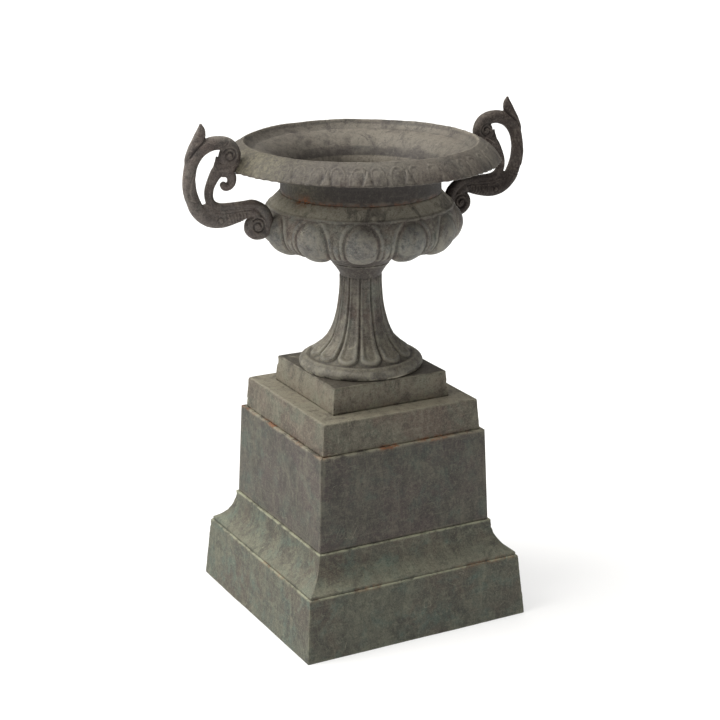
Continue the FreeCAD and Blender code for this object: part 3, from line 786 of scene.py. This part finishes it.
class Nodes:
    """Short way to write a material's node tree."""

    def __init__(self, name):
        self.material = bpy.data.materials.new(name)
        self.material.use_nodes = True
        self.tree = self.material.node_tree
        self.shader = self.tree.nodes["Principled BSDF"]
        self.place = self.add("ShaderNodeTexCoord").outputs["Object"]

    def add(self, kind, **settings):
        node = self.tree.nodes.new(kind)
        for key, value in settings.items():
            setattr(node, key, value)
        return node

    def link(self, value, socket):
        if hasattr(value, "links"):
            self.tree.links.new(value, socket)
        else:
            socket.default_value = value

    def math(self, operation, first, second=0.0):
        node = self.add("ShaderNodeMath", operation=operation)
        self.link(first, node.inputs[0])
        self.link(second, node.inputs[1])
        return node.outputs[0]

    def step(self, value, low, high):
        """0 at low and 1 at high, smoothly."""
        node = self.add("ShaderNodeMapRange", interpolation_type="SMOOTHSTEP")
        self.link(value, node.inputs["Value"])
        node.inputs["From Min"].default_value = low
        node.inputs["From Max"].default_value = high
        return node.outputs[0]

    def attribute(self, name):
        return self.add("ShaderNodeAttribute", attribute_name=name).outputs["Fac"]

    def noise(self, scale, stretch=(1, 1, 1), detail=7.0, roughness=0.6, shift=0.0, warp=0.0):
        """Noise whose scale is per metre, stretched along the axes."""
        mapping = self.add("ShaderNodeMapping")
        self.link(self.place, mapping.inputs["Vector"])
        mapping.inputs["Scale"].default_value = [1.0 / s for s in stretch]
        mapping.inputs["Location"].default_value = (shift, shift * 0.7, shift * 1.3)
        node = self.add("ShaderNodeTexNoise")
        self.link(mapping.outputs[0], node.inputs["Vector"])
        node.inputs["Scale"].default_value = scale
        node.inputs["Detail"].default_value = detail
        node.inputs["Roughness"].default_value = roughness
        node.inputs["Distortion"].default_value = warp
        return node.outputs["Fac"]

    def mix(self, share, first, second):
        node = self.add("ShaderNodeMix", data_type="RGBA")
        self.link(share, node.inputs[0])
        for value, socket in ((first, node.inputs[6]), (second, node.inputs[7])):
            self.link(value if hasattr(value, "links") else (*value, 1.0), socket)
        return node.outputs[2]

    def tint(self, colour, share, amount, other):
        """Mixes another colour in by a share from 0 to 1 times an amount."""
        return self.mix(self.math("MULTIPLY", share, amount), colour, other)

    def bump(self, height, strength, distance, below):
        node = self.add("ShaderNodeBump")
        node.inputs["Strength"].default_value = strength
        node.inputs["Distance"].default_value = distance
        self.link(height, node.inputs["Height"])
        if below is not None:
            self.link(below, node.inputs["Normal"])
        return node.outputs[0]


OLIVE_BLOOM = (0.175, 0.160, 0.100)
COOL_GREY = (0.090, 0.101, 0.107)
RUST_DARK = (0.095, 0.034, 0.014)
RUST_BRIGHT = (0.27, 0.098, 0.030)


def weathered_iron(name, base, brown, green, pale, dark, rusty=0.0, dusty=0.5, streaky=1.0,
                   hollow_darkening=0.8, worn=0.8, cool=0.0, shine=0.42):
    """Old painted iron with streaks, worn edges, darker hollows and rust. Its soot marks also paint
    shade and its chalk marks also paint light. Colours are in thousandths.
    """
    base, brown, green, pale, dark = (
        tuple(part / 1000 for part in shade) for shade in (base, brown, green, pale, dark))
    n = Nodes(name)
    relief, hollow = n.attribute("relief"), n.attribute("hollow")
    rust_mark, bloom_mark, line_mark, chalk_and_painted_light_mark, soot_and_painted_shade_mark = (
        n.attribute(word) for word in ("rust", "bloom", "line", "chalk_and_painted_light", "soot_and_painted_shade"))
    clouds = n.noise(8.0, roughness=0.66, warp=0.5)
    patches = n.noise(19.0, shift=4.0, roughness=0.66, warp=0.4)
    stains = n.noise(24.0, stretch=(1, 1, 1.7), shift=14.0, roughness=0.7, warp=0.9)
    blotches = n.noise(44.0, shift=12.0, roughness=0.74, warp=0.3)
    drips = n.noise(42.0, stretch=(1, 1, 4.5), shift=9.0, roughness=0.68, warp=0.9)
    brushed = n.noise(250.0, stretch=(1, 1, 8.0), shift=2.0, detail=4.0, roughness=0.7)
    across = n.noise(150.0, stretch=(7, 7, 1), shift=3.0, detail=4.0, roughness=0.65)
    mottle = n.noise(135.0, shift=5.0, detail=6.0, roughness=0.78, warp=0.8)
    grain = n.noise(430.0, detail=3.0, roughness=0.7)
    specks = n.noise(950.0, detail=2.0)

    colour = n.mix(n.step(clouds, 0.42, 0.60), base, brown)
    colour = n.tint(colour, n.step(clouds, 0.48, 0.34), 0.30, pale)
    colour = n.tint(colour, n.step(patches, 0.48, 0.66), 0.8, green)
    facing = n.add("ShaderNodeSeparateXYZ")
    n.link(n.add("ShaderNodeNewGeometry").outputs["Normal"], facing.inputs[0])
    colour = n.tint(colour, n.step(facing.outputs["Z"], 0.35, 0.95), dusty, pale)
    colour = n.tint(colour, n.step(hollow, 0.3, 1.8), cool, COOL_GREY)
    # chalk mark: paler colour, partly chalk and partly painted light on the shoulder, the foot's sides
    # and the inner right wall of the rim
    colour = n.tint(colour, chalk_and_painted_light_mark, 0.95, tuple(1.7 * c for c in pale))
    # soot mark: darker colour, partly dark joints and darker patches and partly painted shade under the
    # cap, the rim and the bowl, inside the rim's left and on the right handle
    colour = n.tint(colour, soot_and_painted_shade_mark, 0.85, tuple(0.65 * c for c in dark))
    textures = (
        (stains, 0.50, 0.36, 0.72, dark), (stains, 0.52, 0.68, 0.52, pale),
        (blotches, 0.47, 0.34, 0.55, dark), (blotches, 0.54, 0.70, 0.42, pale),
        (drips, 0.52, 0.70, 0.42 * streaky, pale), (drips, 0.47, 0.32, 0.42 * streaky, dark),
        (brushed, 0.52, 0.72, 0.26 * streaky, pale), (brushed, 0.48, 0.30, 0.30 * streaky, dark),
        (across, 0.54, 0.68, 0.34, pale),
        (mottle, 0.50, 0.66, 0.62, pale), (mottle, 0.49, 0.34, 0.62, dark),
        (grain, 0.50, 0.66, 0.42, dark), (grain, 0.50, 0.34, 0.34, pale),
        (specks, 0.58, 0.70, 0.36, pale),
    )
    for texture, low, high, share, other in textures:
        colour = n.tint(colour, n.step(texture, low, high), share, other)

    hair = n.math("ABSOLUTE", n.math("SUBTRACT", n.noise(11.0, shift=7.0, detail=2.0, warp=1.2), 0.5))
    seldom = n.step(n.noise(13.0, shift=15.0, detail=3.0), 0.57, 0.66)
    scratched = n.math("MULTIPLY", n.step(hair, 0.0050, 0.0015), seldom)
    colour = n.tint(colour, scratched, 0.75, tuple(1.3 * c for c in pale))

    # a second coat of the soot mark over the tints, so its painted shade stays dark
    colour = n.tint(colour, soot_and_painted_shade_mark, 0.5, dark)

    bloom = n.math("MULTIPLY", bloom_mark, n.step(mottle, 0.30, 0.72))
    colour = n.tint(colour, bloom, 0.75, OLIVE_BLOOM)

    edges = n.math("MULTIPLY", n.step(relief, 0.08, 0.45), n.step(blotches, 0.40, 0.60))
    colour = n.tint(colour, edges, worn, pale)
    lines = n.math("MULTIPLY", line_mark, n.step(blotches, 0.42, 0.56))
    colour = n.tint(colour, lines, 0.85, tuple(1.6 * c for c in pale))
    # darker in hollows and creases, where a vertex lies below its smoothed surroundings
    darker_in_hollows = n.math("MAXIMUM", n.step(relief, -0.10, -0.7), n.step(hollow, -0.6, -2.6))
    colour = n.tint(colour, darker_in_hollows, hollow_darkening, tuple(0.5 * c for c in dark))

    orange = n.mix(n.step(grain, 0.35, 0.7), RUST_DARK, RUST_BRIGHT)
    spots = n.step(n.noise(95.0, shift=6.0, detail=6.0, roughness=0.7), 0.62 - 0.14 * rusty, 0.76)
    marked = n.math("MULTIPLY", rust_mark, n.step(n.noise(120.0, shift=1.5, detail=6.0), 0.40, 0.58))
    amount = n.math("MAXIMUM", n.math("MULTIPLY", spots, 0.10 + 0.90 * rusty), marked)
    n.link(n.mix(amount, colour, orange), n.shader.inputs["Base Color"])

    gloss = n.math("MULTIPLY_ADD", clouds, -0.28)
    gloss.node.inputs[2].default_value = 0.80
    n.link(n.math("MAXIMUM", gloss, n.math("MULTIPLY", amount, 0.9)), n.shader.inputs["Roughness"])
    n.shader.inputs["Metallic"].default_value = 0.0
    n.shader.inputs["Specular IOR Level"].default_value = shine

    bumps = None
    for texture, strength, distance in (
            (patches, 0.5, 0.0012), (blotches, 0.45, 0.0010), (mottle, 0.55, 0.0012),
            (drips, 0.3, 0.0007), (grain, 0.6, 0.0006), (specks, 0.3, 0.0002)):
        bumps = n.bump(texture, strength, distance, bumps)
    n.link(bumps, n.shader.inputs["Normal"])
    return n.material


# ---- putting it together ----

def heights(piece):
    return coordinates(piece)[:, 2]


def radii(piece):
    return np.hypot(*coordinates(piece)[:, :2].T)


def rust_on(piece, amount):
    mark(piece, "rust", np.clip(amount, 0.0, 1.0))


def seam(points, level, thick, seed):
    """Rust in patches along a seam at a level."""
    patchy = smooth(-0.1, 0.55, rough(points * np.array([1.0, 1.0, 0.2]), 38.0, seed, 2))
    return ridge(points[:, 2] - level, thick) * patchy


def near(points, x, y):
    """1 on the upright line through a place in plan, falling off over 90 mm."""
    return ridge(np.hypot(points[:, 0] - x, points[:, 1] - y), 90.0)


def near_azimuth(points, azimuth, width):
    angle = np.degrees(np.arctan2(points[:, 1], points[:, 0]))
    return ridge((angle - azimuth + 180.0) % 360.0 - 180.0, width)


def mark_pedestal():
    """Rust, pale seams and dark joints where the pedestal's castings meet, painted shade on the die
    panels under the cap, and a paler top to the cap.
    """
    for piece in (cap, *panels):
        spots = coordinates(piece)
        beside = 1.2 * np.maximum(near(spots, 20.0, -165.0), near(spots, -165.0, 40.0))
        everywhere = 0.4 * seam(spots, DIE_TOP, 2.4, 79)
        rust_on(piece, 0.8 * beside * seam(spots, DIE_TOP, 3.6, 71) + everywhere)
    for panel in panels:
        height = heights(panel)
        mark(panel, "line", ridge(height - DIE_TOP, 2.2))
        # painted shade on the die panels, darkest just under the cap's overhang; a dark joint at the
        # cove
        shade_under_cap = 0.22 * smooth(DIE_TOP - 70.0, DIE_TOP - 4.0, height)
        mark(panel, "soot_and_painted_shade", shade_under_cap + ridge(height - COVE_TOP, 1.5))
    mark(cove, "soot_and_painted_shade", ridge(heights(cove) - SLAB_TOP, 1.5))
    mark(cap, "soot_and_painted_shade", ridge(heights(cap) - DIE_TOP, 1.5))
    # the cap's top face paler
    mark(cap, "chalk_and_painted_light", 0.3 * smooth(CAP_TOP - 1.5, CAP_TOP - 0.2, heights(cap)))
    for piece, level in ((slab, SLAB_TOP), (cove, COVE_TOP)):
        rust_on(piece, 0.4 * seam(coordinates(piece), SLAB_TOP, 4.0, 72))
        mark(piece, "line", ridge(heights(piece) - level, 2.2))


def mark_joint():
    """Rust and olive bloom where the neck stands on the bowl."""
    for piece in (belly, collar):
        spots = coordinates(piece)
        joint = seam(spots, BOWL_TOP + 2.0, 9.0, 73) * near_azimuth(spots, -160.0, 26.0)
        rust_on(piece, 0.9 * joint + 0.5 * seam(spots, BOWL_TOP + 1.0, 4.0, 74))
        mark(piece, "bloom", 0.9 * near_azimuth(spots, -170.0, 22.0) * smooth(772.0, 786.0, spots[:, 2]))


def mark_bowl():
    """Painted light on the shoulder, where the rim shades it, and the bowl darker towards its underside.
    """
    height = heights(belly)
    flat_part = smooth(140.0, 150.0, radii(belly))
    # painted light: the shoulder made paler where the rim shades it
    mark(belly, "chalk_and_painted_light", flat_part * smooth(RIDGE[1] - 2.0, RIDGE[1] + 2.0, height))
    # darker towards the bowl's underside
    mark(belly, "soot_and_painted_shade", smooth(706.0, 690.0, height))


def mark_rim():
    """The neck darker under the rim, partly dark paint and partly painted shade; the left rim darker;
    painted shade on the inner left wall, painted light on the inner right wall, and a pale line round
    the crest.
    """
    neck, height, out = coordinates(collar), heights(collar), radii(collar)
    inside = (out < 142.0) | ((height > 854.0 + 0.4 * (out - 157.0)) & (out < 206.0))
    # the left of the rim darker
    left_rim = 0.95 * near_azimuth(neck, -170.0, 30.0) * smooth(850.0, 862.0, height)
    # outside, the neck darker under the rim, partly dark paint and partly painted shade; inside, painted
    # shade on the inner left wall
    mark(collar, "soot_and_painted_shade", np.where(inside, 0.2 * near_azimuth(neck, 140.0, 40.0),
                                  smooth(858.0, 834.0, height) + left_rim))
    # painted light: the inner right wall made paler
    mark(collar, "chalk_and_painted_light", np.where(out < 142.0, 0.95, 0.55) * near_azimuth(neck, 55.0, 60.0) * inside)
    mark(collar, "line", 0.7 * ridge(out - 211.0, 2.0) * smooth(RIM_TOP - 6.0, RIM_TOP - 2.0, height))


def mark_socle():
    """Rust, bloom and darker bands on the stem and the urn's foot, painted shade at the stem's head
    under the bowl and painted light on the foot's sides.
    """
    height = heights(trumpet)
    rust_on(trumpet, 0.4 * seam(coordinates(trumpet), 648.0, 4.0, 76))
    mark(trumpet, "line", ridge(height - FOOT_TOP - 2.0, 2.2))
    mark(trumpet, "bloom", 0.6 * smooth(570.0, 478.0, height))
    # darker at the stem's foot, and painted shade at its head under the bowl
    mark(trumpet, "soot_and_painted_shade", 0.5 * smooth(500.0, 486.0, height) + smooth(628.0, 650.0, height))
    height = heights(foot)
    rust_on(foot, 0.2 * seam(coordinates(foot), CAP_TOP, 4.0, 78))
    # painted light: the foot's sides made paler where the bowl shades them
    mark(foot, "chalk_and_painted_light", 0.3 * smooth(FOOT_TOP - 1.0, FOOT_TOP - 5.0, height))
    # the foot's top face darker, and a dark joint where it stands on the cap
    dark_top = smooth(FOOT_TOP - 2.0, FOOT_TOP - 0.5, height)
    mark(foot, "soot_and_painted_shade", dark_top + ridge(height - CAP_TOP, 1.5))


plinth_iron = weathered_iron(
    "weathered_plinth_iron", base=(70, 72, 56), brown=(64, 49, 38),
    green=(62, 98, 81), pale=(152, 153, 107), dark=(31, 29, 24), worn=0.6)
die_iron = weathered_iron(
    "weathered_die_iron", base=(60, 55, 46), brown=(56, 40, 38),
    green=(54, 74, 60), pale=(130, 122, 90), dark=(27, 24, 21), worn=0.45)
cap_iron = weathered_iron(
    "weathered_cap_iron", base=(85, 78, 58), brown=(88, 62, 47),
    green=(76, 90, 66), pale=(182, 168, 124), dark=(38, 31, 24),
    streaky=0.7)
urn_iron = weathered_iron(
    "weathered_urn_iron", base=(108, 97, 80), brown=(102, 74, 60),
    green=(108, 124, 104), pale=(233, 216, 172), dark=(47, 38, 35),
    streaky=0.45, hollow_darkening=0.5, worn=0.5, cool=0.65)
rim_iron = weathered_iron(
    "weathered_rim_iron", base=(49, 43, 36), brown=(49, 36, 30),
    green=(50, 52, 45), pale=(122, 108, 86), dark=(24, 18, 16),
    streaky=0.45, hollow_darkening=0.5, worn=0.6)
handle_iron = weathered_iron(
    "weathered_handle_iron", base=(86, 73, 67), brown=(86, 63, 56),
    green=(86, 89, 81), pale=(195, 167, 139), dark=(36, 29, 27),
    streaky=0.3, dusty=0.35, hollow_darkening=0.55, worn=0.6)
# a darker, less shiny copy of the handle iron, painting the shade that falls on the right handle
shaded_handle_iron = weathered_iron(
    "shaded_handle_iron", base=(66, 55, 50), brown=(64, 46, 40),
    green=(64, 66, 59), pale=(150, 126, 106), dark=(26, 20, 18),
    streaky=0.3, dusty=0.3, hollow_darkening=0.55, worn=0.5, shine=0.15)
hardware_iron = weathered_iron(
    "rusty_hardware_iron", base=(75, 62, 52), brown=(80, 50, 34),
    green=(70, 66, 55), pale=(150, 130, 105), dark=(30, 25, 21),
    rusty=0.75, streaky=0.3)

slab, cove, cap, foot = plinth_slab(), plinth_cove(), cap_block(), urn_foot()
sides = ("front", "right", "back", "left")
panels = [die_panel(side, quarter) for quarter, side in enumerate(sides)]
trumpet, belly, collar = stem(), bowl(), neck_rim()
right_handle, left_handle = handles()

for piece in (slab, cove, cap, foot, *panels, trumpet, belly, collar):
    mark_relief(piece)

mark_pedestal()
mark_joint()
mark_bowl()
mark_rim()
mark_socle()
# painted shade of the rim on the right handle, darker towards the bottom
mark(right_handle, "soot_and_painted_shade", 0.35 + 0.6 * smooth(825.0, 800.0, heights(right_handle)))

replaced = [
    (slab, "pedestal", "pedestal_iron", plinth_iron, "plinth_slab"),
    (cove, "pedestal", "pedestal_iron", plinth_iron, "plinth_cove"),
    (cap, "pedestal", "pedestal_iron", cap_iron, "cap_block"),
    (foot, "urn", "urn_iron", cap_iron, "urn_foot"),
    (trumpet, "urn", "urn_iron", urn_iron, "stem"),
    (belly, "urn", "urn_iron", urn_iron, "bowl"),
    (collar, "urn", "urn_iron", rim_iron, "neck_rim"),
    (right_handle, "urn", "urn_iron", shaded_handle_iron, "handle_right"),
    (left_handle, "urn", "urn_iron", handle_iron, "handle_left"),
]
for side, panel in zip(sides, panels):
    replaced.append((panel, "pedestal", "pedestal_iron", die_iron, "die_panel_" + side))
for piece, body, slot_name, material, node in replaced:
    piece.data.materials.clear()
    piece.data.materials.append(material)
    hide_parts(node)
    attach(piece, body)

stood_for = {row[4] for row in replaced}
for name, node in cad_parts.items():
    if name not in stood_for:
        node.data.materials.clear()
        node.data.materials.append(hardware_iron)


# ---- studio ----

FLOOR_SIZE = 60.0
FLOOR_SHADE = 0.42
FLOOR_GLOW = 0.52
CAMERA_LENS = 88.77
CAMERA_SENSOR = 36.0
CAMERA_PLACE = (-1.4994, -2.7972, 1.4786)
CAMERA_AIM = (0.4501, 0.8405, -0.3015)
LAMP_COLOUR = (1.0, 0.985, 0.945)
SKY_STRENGTH = 0.25


def floor():
    """Large plain pale floor that glows a little, like a lit table for product pictures."""
    bpy.ops.mesh.primitive_plane_add(size=FLOOR_SIZE)
    plane = bpy.context.object
    plane.name = "studio_floor"
    n = Nodes("pale_floor")
    n.shader.inputs["Base Color"].default_value = (FLOOR_SHADE, FLOOR_SHADE, FLOOR_SHADE, 1.0)
    n.shader.inputs["Roughness"].default_value = 0.95
    n.shader.inputs["Specular IOR Level"].default_value = 0.0
    n.shader.inputs["Emission Color"].default_value = (1.0, 1.0, 1.0, 1.0)
    n.shader.inputs["Emission Strength"].default_value = FLOOR_GLOW
    plane.data.materials.append(n.material)


def camera():
    data = bpy.data.cameras.new("camera")
    data.lens = CAMERA_LENS
    data.sensor_width = CAMERA_SENSOR
    view = bpy.data.objects.new("camera", data)
    view.location = CAMERA_PLACE
    view.rotation_mode = "QUATERNION"
    view.rotation_quaternion = Vector(CAMERA_AIM).to_track_quat("-Z", "Y")
    bpy.context.scene.collection.objects.link(view)
    bpy.context.scene.camera = view


def broad_sun(name, towards, strength, spread):
    """Even soft light from one side: a very large lamp far away."""
    lamp = bpy.data.lights.new(name, "SUN")
    lamp.energy = strength
    lamp.color = LAMP_COLOUR
    lamp.angle = math.radians(spread)
    light = bpy.data.objects.new(name, lamp)
    light.rotation_mode = "QUATERNION"
    light.rotation_quaternion = Vector(towards).to_track_quat("Z", "Y")
    bpy.context.scene.collection.objects.link(light)


floor()
camera()
broad_sun("key", (-0.66, 0.24, 0.72), 3.7, 50.0)
broad_sun("overhead", (-0.12, 0.14, 0.98), 2.6, 80.0)
world = bpy.data.worlds.new("studio")
world.use_nodes = True
world.node_tree.nodes["Background"].inputs["Color"].default_value = (1.0, 1.0, 1.0, 1.0)
world.node_tree.nodes["Background"].inputs["Strength"].default_value = SKY_STRENGTH
bpy.context.scene.world = world
bpy.context.scene.view_settings.view_transform = "Standard"
